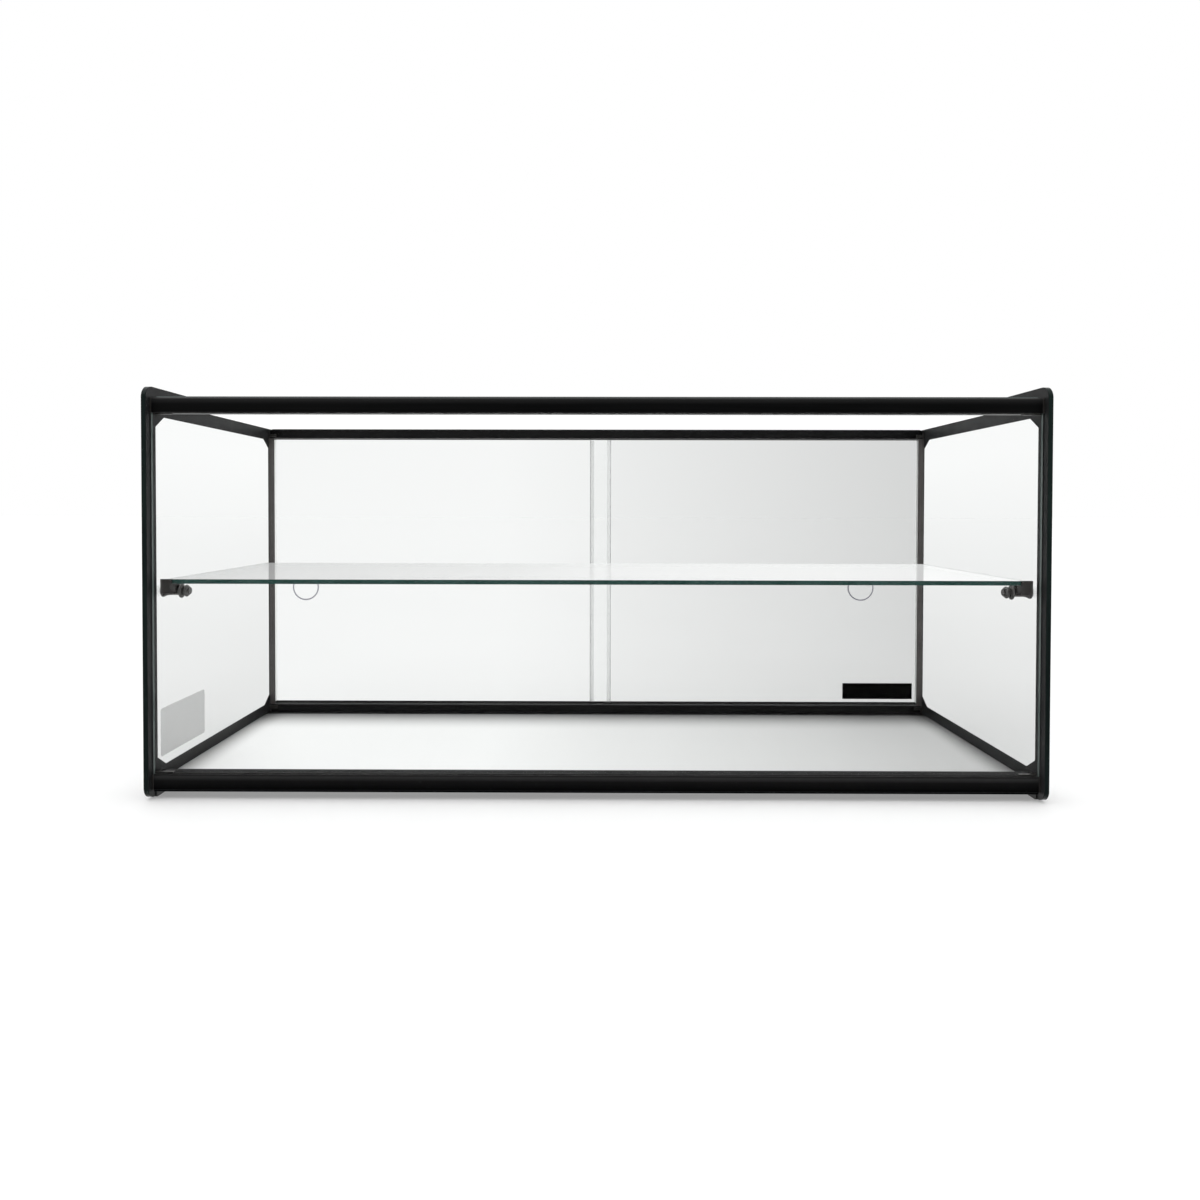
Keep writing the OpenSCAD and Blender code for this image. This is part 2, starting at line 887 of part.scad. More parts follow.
shelf_clip(1, false);  // right_front_clip
shelf_clip(1, true);  // right_rear_clip
clip_rings(ring_d, clip_len);  // clip_cushion_rings
clip_rings(end_ring_d, clip_len + ring_w);  // clip_end_rings
clip_screws();
clip_washers();
rail_screws();
rail_washers();
foot(-1, false);  // left_front_foot
foot(-1, true);  // left_rear_foot
foot(1, false);  // right_front_foot
foot(1, true);  // right_rear_foot
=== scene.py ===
# Glass countertop display case: clear panes, black rails and pegs, two sliding doors at the back
import json
import math

import bpy
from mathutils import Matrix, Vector


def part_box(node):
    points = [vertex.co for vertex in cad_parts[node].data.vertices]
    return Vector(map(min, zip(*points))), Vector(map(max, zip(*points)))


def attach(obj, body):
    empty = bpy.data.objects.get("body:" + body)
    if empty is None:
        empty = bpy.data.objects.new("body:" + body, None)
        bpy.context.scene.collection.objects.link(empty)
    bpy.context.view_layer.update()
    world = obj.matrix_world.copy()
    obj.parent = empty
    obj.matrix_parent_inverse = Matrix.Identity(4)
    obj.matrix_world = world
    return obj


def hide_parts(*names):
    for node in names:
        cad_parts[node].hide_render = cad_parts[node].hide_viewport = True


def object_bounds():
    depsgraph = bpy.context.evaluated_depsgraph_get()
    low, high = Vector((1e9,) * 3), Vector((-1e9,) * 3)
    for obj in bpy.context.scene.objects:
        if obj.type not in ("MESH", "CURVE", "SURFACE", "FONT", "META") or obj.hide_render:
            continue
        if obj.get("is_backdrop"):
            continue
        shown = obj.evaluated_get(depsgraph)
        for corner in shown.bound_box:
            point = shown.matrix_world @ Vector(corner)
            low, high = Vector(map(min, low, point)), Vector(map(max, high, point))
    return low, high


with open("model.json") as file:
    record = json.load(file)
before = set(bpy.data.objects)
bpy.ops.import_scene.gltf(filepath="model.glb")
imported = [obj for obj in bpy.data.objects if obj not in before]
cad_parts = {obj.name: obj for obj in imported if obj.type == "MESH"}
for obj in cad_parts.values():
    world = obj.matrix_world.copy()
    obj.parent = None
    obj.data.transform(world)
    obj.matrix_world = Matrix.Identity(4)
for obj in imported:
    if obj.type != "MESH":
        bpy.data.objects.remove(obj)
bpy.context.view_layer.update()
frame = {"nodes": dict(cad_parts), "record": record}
nodes = frame["nodes"]
mm = 0.001
tiny = 0.01 * mm  # places closer than this count as the same
nearAxis = 0.98  # share of a normal from which it counts as along an axis
print("frame loaded:", len(nodes), "CAD nodes")


# Hand tools for modelling

def deselectAll():
    if bpy.context.object and bpy.context.object.mode != "OBJECT":
        bpy.ops.object.mode_set(mode="OBJECT")
    bpy.ops.object.select_all(action="DESELECT")


def makeActive(piece):
    deselectAll()
    piece.select_set(True)
    bpy.context.view_layer.objects.active = piece


def nameNew(name):  # the primitive just added, with its place moved into its mesh
    piece = bpy.context.object
    piece.name = name
    piece.data.name = name
    bpy.ops.object.transform_apply(location=True, rotation=True, scale=True)
    return piece


def addBlock(name, low, high):
    deselectAll()
    low, high = Vector(low), Vector(high)
    bpy.ops.mesh.primitive_cube_add(size=1, location=(low + high) / 2, scale=high - low)
    return nameNew(name)


def addRod(name, centre, radius, length, sides=48):  # lies along X
    deselectAll()
    bpy.ops.mesh.primitive_cylinder_add(vertices=sides, radius=radius, depth=length, location=centre,
                                        rotation=(0, math.pi / 2, 0))
    return nameNew(name)


def clearPicks(piece):
    makeActive(piece)
    for part in (piece.data.vertices, piece.data.edges, piece.data.polygons):
        part.foreach_set("select", [False] * len(part))


def pickEdges(piece, test):  # by the places of their two ends
    clearPicks(piece)
    mesh = piece.data
    for edge in mesh.edges:
        first, second = (mesh.vertices[i].co for i in edge.vertices)
        edge.select = test(first, second)
    bpy.context.tool_settings.mesh_select_mode = (False, True, False)
    bpy.ops.object.mode_set(mode="EDIT")


def pickFaces(piece, test):  # by their centre and normal
    clearPicks(piece)
    for face in piece.data.polygons:
        face.select = test(face.center, face.normal)
    bpy.context.tool_settings.mesh_select_mode = (False, False, True)
    bpy.ops.object.mode_set(mode="EDIT")


def bevelEdges(piece, test, width, segments=1):
    pickEdges(piece, test)
    bpy.ops.mesh.bevel(offset=width, segments=segments, affect="EDGES", clamp_overlap=True)
    bpy.ops.object.mode_set(mode="OBJECT")


def paintFaces(piece, slot, test):
    for face in piece.data.polygons:
        if test(face.center, face.normal):
            face.material_index = slot


def throughPane(axis):  # edges that run through the thickness of a block
    return lambda a, b: abs(a[axis] - b[axis]) > tiny


def aroundPane(axis):  # edges that outline its two large faces
    return lambda a, b: abs(a[axis] - b[axis]) < tiny


def isEdgeFace(axis):  # the rim of a pane, arris included
    return lambda centre, normal: abs(normal[axis]) < nearAxis


def cutAway(piece, cutter):
    makeActive(piece)
    cut = piece.modifiers.new("cut", "BOOLEAN")
    cut.operation = "DIFFERENCE"
    cut.object = cutter
    bpy.ops.object.modifier_apply(modifier=cut.name)
    bpy.data.objects.remove(cutter)


# Puts a finished piece on its body with its materials, in place of its CAD node
def finishPiece(piece, body, slot, materials, *replaced, smoothBelow=35):
    while len(piece.data.materials) > len(materials):
        piece.data.materials.pop()
    for place, material in enumerate(materials):
        if place < len(piece.data.materials):
            piece.data.materials[place] = material
        else:
            piece.data.materials.append(material)
    makeActive(piece)
    bpy.ops.object.shade_smooth_by_angle(angle=math.radians(smoothBelow))
    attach(piece, body)
    if replaced:
        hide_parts(*replaced)
    deselectAll()


# Node tools for materials

def addNode(tree, kind, **settings):
    node = tree.nodes.new(kind)
    for name, value in settings.items():
        setattr(node, name, value)
    return node


def setInputs(node, values):
    for name, value in values.items():
        node.inputs[name].default_value = value
    return node


def newMaterial(name, values):
    material = bpy.data.materials.new(name)
    material.use_nodes = True
    tree = material.node_tree
    tree.nodes.clear()
    shader = setInputs(addNode(tree, "ShaderNodeBsdfPrincipled"), values)
    output = addNode(tree, "ShaderNodeOutputMaterial")
    tree.links.new(shader.outputs["BSDF"], output.inputs["Surface"])
    return material, tree, shader


colourA, colourB, colourOut = 6, 7, 2  # colour sockets of a Mix node


def mixColours(tree, mask, first, second):
    mix = addNode(tree, "ShaderNodeMix", data_type="RGBA")
    mix.inputs[colourA].default_value = (*first, 1)
    mix.inputs[colourB].default_value = (*second, 1)
    tree.links.new(mask, mix.inputs[0])
    return mix.outputs[colourOut]


def combineColours(tree, kind, first, second):  # ADD or MULTIPLY, at full strength
    mix = addNode(tree, "ShaderNodeMix", data_type="RGBA", blend_type=kind)
    mix.inputs[0].default_value = 1.0
    tree.links.new(first, mix.inputs[colourA])
    tree.links.new(second, mix.inputs[colourB])
    return mix.outputs[colourOut]


def mixInClear(tree, shader, factor, colour):  # the shader where the factor is 0, clear where it is 1
    clear = setInputs(addNode(tree, "ShaderNodeBsdfTransparent"), {"Color": (*colour, 1)})
    mix = addNode(tree, "ShaderNodeMixShader")
    tree.links.new(factor, mix.inputs[0])
    tree.links.new(shader.outputs["BSDF"], mix.inputs[1])
    tree.links.new(clear.outputs["BSDF"], mix.inputs[2])
    tree.links.new(mix.outputs[0], tree.get_output_node("ALL").inputs["Surface"])


def spreadMask(tree, mask, low, high):
    node = setInputs(addNode(tree, "ShaderNodeMapRange"), {"To Min": low, "To Max": high})
    tree.links.new(mask, node.inputs["Value"])
    return node.outputs["Result"]


def raiseBump(tree, shader, height, strength, distance):
    bump = setInputs(addNode(tree, "ShaderNodeBump"), {"Strength": strength, "Distance": distance})
    tree.links.new(height, bump.inputs["Height"])
    tree.links.new(bump.outputs["Normal"], shader.inputs["Normal"])


# Noise on the piece's own coordinates, stretched along an axis for drawn or wiped marks
def noiseGroup():
    tree = bpy.data.node_groups.new("surfaceNoise", "ShaderNodeTree")
    sockets = tree.interface
    sockets.new_socket("Scale", in_out="INPUT", socket_type="NodeSocketFloat")
    sockets.new_socket("Stretch", in_out="INPUT", socket_type="NodeSocketVector")
    sockets.new_socket("Mask", in_out="OUTPUT", socket_type="NodeSocketFloat")
    given, result = tree.nodes.new("NodeGroupInput"), tree.nodes.new("NodeGroupOutput")
    place = addNode(tree, "ShaderNodeTexCoord")
    mapping = addNode(tree, "ShaderNodeMapping")
    noise = setInputs(addNode(tree, "ShaderNodeTexNoise"), {"Detail": 4, "Roughness": 0.6})
    levels = setInputs(addNode(tree, "ShaderNodeMapRange"), {"From Min": 0.35, "From Max": 0.65})
    link = tree.links.new
    link(place.outputs["Object"], mapping.inputs["Vector"])
    link(given.outputs["Stretch"], mapping.inputs["Scale"])
    link(mapping.outputs["Vector"], noise.inputs["Vector"])
    link(given.outputs["Scale"], noise.inputs["Scale"])
    link(noise.outputs[0], levels.inputs["Value"])
    link(levels.outputs["Result"], result.inputs["Mask"])
    return tree


surfaceNoise = noiseGroup()


def noiseMask(tree, scale, stretch=(1, 1, 1)):
    group = setInputs(addNode(tree, "ShaderNodeGroup", node_tree=surfaceNoise), {
        "Scale": scale, "Stretch": stretch})
    return group.outputs["Mask"]


# Lets light and shadow rays pass a clear pane, so that the inside of the case is lit
def passLight(tree, shader, colour):
    path = addNode(tree, "ShaderNodeLightPath")
    either = addNode(tree, "ShaderNodeMath", operation="MAXIMUM")
    tree.links.new(path.outputs["Is Shadow Ray"], either.inputs[0])
    tree.links.new(path.outputs["Is Diffuse Ray"], either.inputs[1])
    mixInClear(tree, shader, either.outputs[0], colour)


rampReach = 0.5  # metres that a ramp covers on each side of the middle


# Grey that changes along an axis of the case: stops are place in metres and shade
def rampAlong(tree, stops, axis, tint=(1, 1, 1)):
    place = addNode(tree, "ShaderNodeTexCoord")
    axes = addNode(tree, "ShaderNodeSeparateXYZ")
    along = setInputs(addNode(tree, "ShaderNodeMapRange"), {"From Min": -rampReach, "From Max": rampReach})
    shade = addNode(tree, "ShaderNodeValToRGB")
    while len(shade.color_ramp.elements) < len(stops):
        shade.color_ramp.elements.new(0.5)
    for element, (x, value) in zip(shade.color_ramp.elements, stops):
        element.position = (x + rampReach) / (2 * rampReach)
        element.color = (*(c * value for c in tint), 1)
    tree.links.new(place.outputs["Object"], axes.inputs["Vector"])
    tree.links.new(axes.outputs[axis], along.inputs["Value"])
    tree.links.new(along.outputs["Result"], shade.inputs[0])
    return shade.outputs["Color"]


glass = {
    "upright": 1.1, "other": 1.003,  # refraction of front pane and doors, and of the rest
    "tint": (0.994, 1.0, 0.997), "passes": (0.985, 0.99, 0.987), "filmPasses": (0.99, 0.99, 0.99),
    "edgePasses": (0.97, 0.98, 0.975), "outerCoat": 0.6,
    "darkEdge": ((0.006, 0.010, 0.0095), (0.012, 0.020, 0.018)),
}


def wipeMarks(tree):
    return noiseMask(tree, scale=9, stretch=(1, 1, 0.4))


# Clear float glass; where a pane has stops, a painted shade in its tint changes along an axis
def clearGlass(name, index, stops=((-rampReach, 1.0), (rampReach, 1.0)), axis="X", coat=0.0):
    material, tree, shader = newMaterial(name, {
        "IOR": index, "Transmission Weight": 1.0, "Metallic": 0.0})
    link = tree.links.new
    link(rampAlong(tree, stops, axis, glass["tint"]), shader.inputs["Base Color"])
    link(spreadMask(tree, wipeMarks(tree), low=0.0, high=0.02), shader.inputs["Roughness"])
    if coat:  # mirrors the studio from outside only
        side = addNode(tree, "ShaderNodeNewGeometry")
        link(spreadMask(tree, side.outputs["Backfacing"], low=coat, high=0.0), shader.inputs["Coat Weight"])
    passLight(tree, shader, glass["passes"])
    return material


# Painted reflection: a face of a pane that turns from clear into a pale, glowing sheet at low angles, on its
# own side only, with its brightness along X painted in
def paintedReflection(name, stops, start, full, strength):
    material, tree, shader = newMaterial(name, {
        "IOR": 1.2, "Specular IOR Level": 0.0, "Emission Strength": 1.1})
    link = tree.links.new
    wiped = wipeMarks(tree)
    link(mixColours(tree, wiped, (0.001, 0.001, 0.001), (0.004, 0.004, 0.004)), shader.inputs["Base Color"])
    link(spreadMask(tree, wiped, low=0.4, high=0.6), shader.inputs["Roughness"])
    link(rampAlong(tree, stops, "X"), shader.inputs["Emission Color"])
    slant = setInputs(addNode(tree, "ShaderNodeLayerWeight"), {"Blend": 0.5})
    reflectionShare = setInputs(addNode(tree, "ShaderNodeMapRange"), {"From Min": start, "From Max": full})
    side = addNode(tree, "ShaderNodeNewGeometry")
    link(slant.outputs["Facing"], reflectionShare.inputs["Value"])
    link(spreadMask(tree, side.outputs["Backfacing"], low=strength, high=0.0), reflectionShare.inputs["To Max"])
    link(reflectionShare.outputs["Result"], shader.inputs["Alpha"])
    passLight(tree, shader, glass["filmPasses"])
    return material


# Polished edge of a pane, where the long way through the glass turns it green
def glassEdge(name, deep, light, clearInside=False):
    material, tree, shader = newMaterial(name, {"IOR": 1.5, "Specular IOR Level": 0.15})
    link = tree.links.new
    streaks = noiseMask(tree, scale=60, stretch=(0.3, 1, 0.15))
    link(mixColours(tree, streaks, deep, light), shader.inputs["Base Color"])
    ground = noiseMask(tree, scale=700)
    link(spreadMask(tree, ground, low=0.10, high=0.22), shader.inputs["Roughness"])
    if clearInside:  # met from inside the glass, the edge lets the view through
        side = addNode(tree, "ShaderNodeNewGeometry")
        mixInClear(tree, shader, side.outputs["Backfacing"], glass["edgePasses"])
    return material


def blackEnamel():
    material, tree, shader = newMaterial("blackEnamel", {"IOR": 1.5, "Specular IOR Level": 0.08})
    link = tree.links.new
    black = mixColours(tree, noiseMask(tree, scale=6), (0.016, 0.0165, 0.017), (0.021, 0.0215, 0.022))
    link(black, shader.inputs["Base Color"])
    link(spreadMask(tree, noiseMask(tree, scale=30), low=0.35, high=0.42), shader.inputs["Roughness"])
    return material


# Lighter colour on eased edges: real wear from handling on small eased edges, and a painted highlight on the
# marked rounded front edges of the rails
def edgeWearAndHighlightGroup():
    tree = bpy.data.node_groups.new("edgeWear", "ShaderNodeTree")
    sockets = tree.interface
    sockets.new_socket("Colour", in_out="INPUT", socket_type="NodeSocketColor")
    sockets.new_socket("Worn", in_out="INPUT", socket_type="NodeSocketColor")
    sockets.new_socket("Result", in_out="OUTPUT", socket_type="NodeSocketColor")
    given, result = tree.nodes.new("NodeGroupInput"), tree.nodes.new("NodeGroupOutput")
    edge = addNode(tree, "ShaderNodeAttribute", attribute_name="easedEdge")
    amount = addNode(tree, "ShaderNodeMath", operation="MULTIPLY")
    mix = addNode(tree, "ShaderNodeMix", data_type="RGBA")
    link = tree.links.new
    link(edge.outputs["Fac"], amount.inputs[0])
    link(spreadMask(tree, noiseMask(tree, scale=120), low=0.7, high=1.0), amount.inputs[1])
    link(amount.outputs[0], mix.inputs[0])
    link(given.outputs["Colour"], mix.inputs[colourA])
    link(given.outputs["Worn"], mix.inputs[colourB])
    link(mix.outputs[colourOut], result.inputs["Result"])
    return tree


edgeWear = edgeWearAndHighlightGroup()


def wornAndLitEdges(tree, colour, wornAndLit):
    group = setInputs(addNode(tree, "ShaderNodeGroup", node_tree=edgeWear), {"Worn": (*wornAndLit, 1)})
    tree.links.new(colour, group.inputs["Colour"])
    return group.outputs["Result"]


# Drawn black metal; stops add painted sheen, lightening a face along its height
def blackAnodised(name, gloss, stops=((-rampReach, 0.0), (rampReach, 0.0))):
    material, tree, shader = newMaterial(name, {"IOR": 1.4, "Specular IOR Level": gloss})
    link = tree.links.new
    drawn = noiseMask(tree, scale=900, stretch=(0.01, 1, 1))
    black = mixColours(tree, drawn, (0.0008, 0.0008, 0.0009), (0.002, 0.002, 0.0023))
    blackWithPaintedSheen = combineColours(tree, "ADD", black, rampAlong(tree, stops, "Z"))
    link(wornAndLitEdges(tree, blackWithPaintedSheen, wornAndLit=(0.062, 0.069, 0.074)), shader.inputs["Base Color"])
    link(spreadMask(tree, drawn, low=0.32, high=0.44), shader.inputs["Roughness"])
    raiseBump(tree, shader, drawn, strength=0.15, distance=0.1 * mm)
    return material


def blackPlastic(name, dark, light, smooth, rough, gloss=0.5):
    material, tree, shader = newMaterial(name, {"IOR": 1.5, "Specular IOR Level": gloss})
    link = tree.links.new
    mottled = mixColours(tree, noiseMask(tree, scale=40), dark, light)
    edgeLighter = 1.6
    link(wornAndLitEdges(tree, mottled, [c * edgeLighter for c in light]), shader.inputs["Base Color"])
    grain = noiseMask(tree, scale=1500)
    link(spreadMask(tree, grain, smooth, rough), shader.inputs["Roughness"])
    raiseBump(tree, shader, grain, strength=0.12, distance=0.1 * mm)
    return material


def blackRubber(name, dark, light, smooth, rough):
    material, tree, shader = newMaterial(name, {"IOR": 1.5})
    link = tree.links.new
    link(mixColours(tree, noiseMask(tree, scale=60), dark, light), shader.inputs["Base Color"])
    grain = noiseMask(tree, scale=900)
    link(spreadMask(tree, grain, smooth, rough), shader.inputs["Roughness"])
    raiseBump(tree, shader, grain, strength=0.2, distance=0.1 * mm)
    return material


def blackScrew():
    material, tree, shader = newMaterial("blackScrew", {"Metallic": 0.8})
    link = tree.links.new
    specks = noiseMask(tree, scale=500)
    link(mixColours(tree, specks, (0.02, 0.02, 0.022), (0.05, 0.05, 0.054)), shader.inputs["Base Color"])
    link(spreadMask(tree, noiseMask(tree, scale=800), low=0.28, high=0.42), shader.inputs["Roughness"])
    return material


# White floor sheet with painted shade, darker to the right, and painted shadow where it meets the rear rail
# and the side borders
floorSheet = {
    # painted shade by X, darker to the right
    "shades": ((-0.13, 0.828), (0.0, 0.735), (0.40, 0.492)),  # by X
    # painted shadow along the rear rail
    "rear": {"inside": 95 * mm, "outside": 10 * mm, "shade": 0.1},  # soft grey from inside to outside an edge
    # near-black painted shadow band right along the rear rail
    "rearBand": {"inside": 13.6 * mm, "outside": -12.6 * mm, "shade": 0.05},
    # painted shadow along the side borders
    "sides": {"inside": 36 * mm, "outside": 5 * mm, "shade": 0.38},
}


def palePanel(corner):
    material, tree, shader = newMaterial("palePanel", {"IOR": 1.45, "Specular IOR Level": 0.15})
    link = tree.links.new
    place = addNode(tree, "ShaderNodeTexCoord")
    axes = addNode(tree, "ShaderNodeSeparateXYZ")
    outwards = addNode(tree, "ShaderNodeMath", operation="ABSOLUTE")
    link(place.outputs["Object"], axes.inputs["Vector"])
    link(axes.outputs["X"], outwards.inputs[0])
    colour = rampAlong(tree, floorSheet["shades"], "X")
    backwards = axes.outputs["Y"]
    edges = {"rear": (backwards, corner.y), "rearBand": (backwards, corner.y),
             "sides": (outwards.outputs[0], corner.x)}
    for name, (distance, edge) in edges.items():
        values = floorSheet[name]
        soft = setInputs(addNode(tree, "ShaderNodeMapRange", interpolation_type="SMOOTHSTEP"), {
            "From Min": edge - values["inside"], "From Max": edge + values["outside"],
            "To Min": 1.0, "To Max": values["shade"]})
        link(distance, soft.inputs["Value"])
        colour = combineColours(tree, "MULTIPLY", colour, soft.outputs["Result"])
    grain = mixColours(tree, noiseMask(tree, scale=220), (0.985, 0.985, 0.985), (1, 1, 1))
    link(combineColours(tree, "MULTIPLY", colour, grain), shader.inputs["Base Color"])
    link(spreadMask(tree, noiseMask(tree, scale=400), low=0.4, high=0.5), shader.inputs["Roughness"])
    return material


def warmAnodised():
    material, tree, shader = newMaterial("warmAnodised", {"IOR": 1.4})
    link = tree.links.new
    drawn = noiseMask(tree, scale=500, stretch=(1, 1, 0.02))
    link(mixColours(tree, drawn, (0.064, 0.057, 0.055), (0.088, 0.081, 0.079)), shader.inputs["Base Color"])
    link(spreadMask(tree, drawn, low=0.35, high=0.45), shader.inputs["Roughness"])
    return material


# Painted light: a pale, glowing strip on the jamb wall that a closed door meets
def paleBuffer():
    material, tree, shader = newMaterial("paleBuffer", {"IOR": 1.45, "Emission Strength": 0.35})
    link = tree.links.new
    fibres = noiseMask(tree, scale=600, stretch=(1, 1, 0.1))
    white = mixColours(tree, fibres, (0.76, 0.76, 0.75), (0.83, 0.83, 0.82))
    link(white, shader.inputs["Base Color"])
    link(white, shader.inputs["Emission Color"])
    link(spreadMask(tree, fibres, low=0.5, high=0.65), shader.inputs["Roughness"])
    return material


def milkyPlastic(name, alpha, dark, light):
    material, tree, shader = newMaterial(name, {"IOR": 1.3, "Alpha": alpha})
    link = tree.links.new
    drawn = noiseMask(tree, scale=700, stretch=(1, 1, 0.01))
    link(mixColours(tree, drawn, dark, light), shader.inputs["Base Color"])
    link(spreadMask(tree, drawn, low=0.22, high=0.34), shader.inputs["Roughness"])
    return material


def greyLabel():
    material, tree, shader = newMaterial("greyLabel", {"IOR": 1.45})
    link = tree.links.new
    fibres = noiseMask(tree, scale=900, stretch=(1, 0.4, 1))
    link(mixColours(tree, fibres, (0.575, 0.575, 0.575), (0.615, 0.615, 0.615)), shader.inputs["Base Color"])
    link(spreadMask(tree, fibres, low=0.5, high=0.65), shader.inputs["Roughness"])
    return material


def blackPlate():
    material, tree, shader = newMaterial("blackPlate", {"IOR": 1.45, "Specular IOR Level": 0.02})
    link = tree.links.new
    grain = noiseMask(tree, scale=1200)
    black = mixColours(tree, grain, (0.0002, 0.0002, 0.0002), (0.0006, 0.0006, 0.0006))
    link(black, shader.inputs["Base Color"])
    link(spreadMask(tree, grain, low=0.55, high=0.7), shader.inputs["Roughness"])
    return material


finishes = {
    "black_enamel": blackEnamel(),
    "black_anodised": blackAnodised("rearRail", gloss=0.22),
    "black_plastic": blackPlastic("blackPlastic", dark=(0.014, 0.013, 0.012), light=(0.024, 0.022, 0.020),
                                  smooth=0.28, rough=0.42),
    "black_rubber": blackRubber("blackRubber", dark=(0.016, 0.016, 0.016), light=(0.028, 0.027, 0.026),
                                smooth=0.55, rough=0.75),
    "black_screw": blackScrew(),
    "clear_strip": milkyPlastic("milkyStrip", alpha=0.09, dark=(0.70, 0.71, 0.72), light=(0.78, 0.79, 0.80)),
}
jambFinish = warmAnodised()
jambLightFinish = paleBuffer()
trackFinish = blackPlastic("trackPlastic", dark=(0.006, 0.006, 0.006), light=(0.010, 0.010, 0.010),
                           smooth=0.5, rough=0.6, gloss=0.05)
pegFinish = blackPlastic("pegPlastic", dark=(0.030, 0.028, 0.027), light=(0.046, 0.043, 0.042),
                         smooth=0.16, rough=0.26)
ringFinish = blackRubber("pegRings", dark=(0.042, 0.040, 0.039), light=(0.062, 0.060, 0.058),
                         smooth=0.25, rough=0.35)
nylonFinish = milkyPlastic("clearNylon", alpha=0.06, dark=(0.74, 0.75, 0.75), light=(0.82, 0.83, 0.83))
ownFinishes = {  # nodes that differ from the finish of their slot
    # front rails: painted sheen, lighter towards the upper front edge
    "front_top_rail": blackAnodised("frontTopRail", gloss=0.32, stops=((0.4048, 0.0), (0.4070, 0.016))),
    "front_bottom_rail": blackAnodised("frontBottomRail", gloss=0.02, stops=(
        (0.010, 0.0), (0.0214, 0.008), (0.0238, 0.032), (0.0248, 0.030), (0.0253, 0.0))),
    # painted sheen: lighter all over than the other rails, in place of its gloss
    "rear_bottom_rail": blackAnodised("rearBottomRail", gloss=0.02, stops=(
        (-rampReach, 0.011), (rampReach, 0.011))),
    "left_jamb": jambFinish, "right_jamb": jambFinish,
    "upper_door_track": trackFinish, "lower_door_track": trackFinish,
    "left_front_clip": pegFinish, "right_front_clip": pegFinish,
    "left_rear_clip": nylonFinish, "right_rear_clip": nylonFinish,
    "clip_cushion_rings": ringFinish, "clip_end_rings": ringFinish,
    "clip_washers": nylonFinish, "clip_screws": nylonFinish,
}
wallGlass = clearGlass("wallGlass", glass["upright"])
topOutside = clearGlass("topOutside", glass["other"], coat=glass["outerCoat"])
shelfGlass = clearGlass("shelfGlass", glass["other"])
# Painted reflections: the shelf's top and the top pane's underside glow as pale sheets at low angles, the
# shelf brighter to the right
shelfTop = paintedReflection("shelfTop", start=0.80, full=0.91, strength=0.57, stops=(
    (-0.4405, 0.48), (-0.44, 0.53), (-0.30, 0.605), (-0.1, 0.70), (0.02, 0.835), (0.13, 0.895), (0.28, 0.94),
    (0.44, 0.93), (0.4405, 0.7)))  # a thin darker line along each end
topInside = paintedReflection("topInside", start=0.74, full=0.86, strength=1.0, stops=((-0.4, 0.97), (0.4, 0.96)))
floorPanel = palePanel(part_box("floor_pane")[1])
shelfEdge = glassEdge("shelfEdge", deep=(0.010, 0.042, 0.034), light=(0.026, 0.066, 0.058), clearInside=True)
paleEdge = glassEdge("paleEdge", deep=(0.08, 0.10, 0.096), light=(0.12, 0.14, 0.135))
darkEdge = glassEdge("darkEdge", *glass["darkEdge"])
doorEdge = glassEdge("doorEdge", *glass["darkEdge"], clearInside=True)
dishRim = glassEdge("dishRim", deep=(0.40, 0.385, 0.44), light=(0.50, 0.485, 0.55))
print("materials made:", len(bpy.data.materials))

# Every CAD node that stays gets the finish of its slot
nodeSlots = {part["node"]: part["material_slot"] for part in frame["record"]["subparts"]}
for nodeName, slotName in nodeSlots.items():
    if slotName in finishes:
        nodes[nodeName].data.materials.clear()
        nodes[nodeName].data.materials.append(finishes[slotName])

# Flat panes: front, top, floor and shelf
flatPanes = {
    "front_pane": {"name": "frontGlass", "thin": 1, "faces": wallGlass, "outside": wallGlass,
                   "edges": paleEdge, "clipped": 0},
    "top_pane": {"name": "topGlass", "thin": 2, "faces": topInside, "outside": topOutside,
                 "edges": paleEdge, "clipped": 5 * mm},
    "floor_pane": {"name": "floorPanel", "thin": 2, "faces": floorPanel, "outside": floorPanel,
                   "edges": floorPanel, "clipped": 0},
    "shelf": {"name": "shelfGlass", "thin": 2, "faces": shelfGlass, "outside": shelfTop,
              "edges": shelfEdge, "clipped": 0, "arris": 0.1 * mm, "grown": 0.7 * mm},
}
arris = 0.4 * mm
seatGap = 0.02 * mm  # keeps a pane's underside clear of the tape or cushion it lies on
for nodeName, values in flatPanes.items():
    thin = values["thin"]
    low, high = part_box(nodeName)
    if thin == 2:
        low.z += seatGap
        high.z += values.get("grown", 0)
    pane = addBlock(values["name"], low, high)
    if values["clipped"]:
        bevelEdges(pane, throughPane(thin), values["clipped"])
    bevelEdges(pane, lambda a, b: True, values.get("arris", arris))
    paintFaces(pane, 1, isEdgeFace(thin))
    paintFaces(pane, 2, lambda centre, normal: normal.z > nearAxis and thin == 2)
    materials = [values["faces"], values["edges"], values["outside"]]
    finishPiece(pane, "case", nodeSlots[nodeName], materials, nodeName, smoothBelow=5)
print("flat panes done")
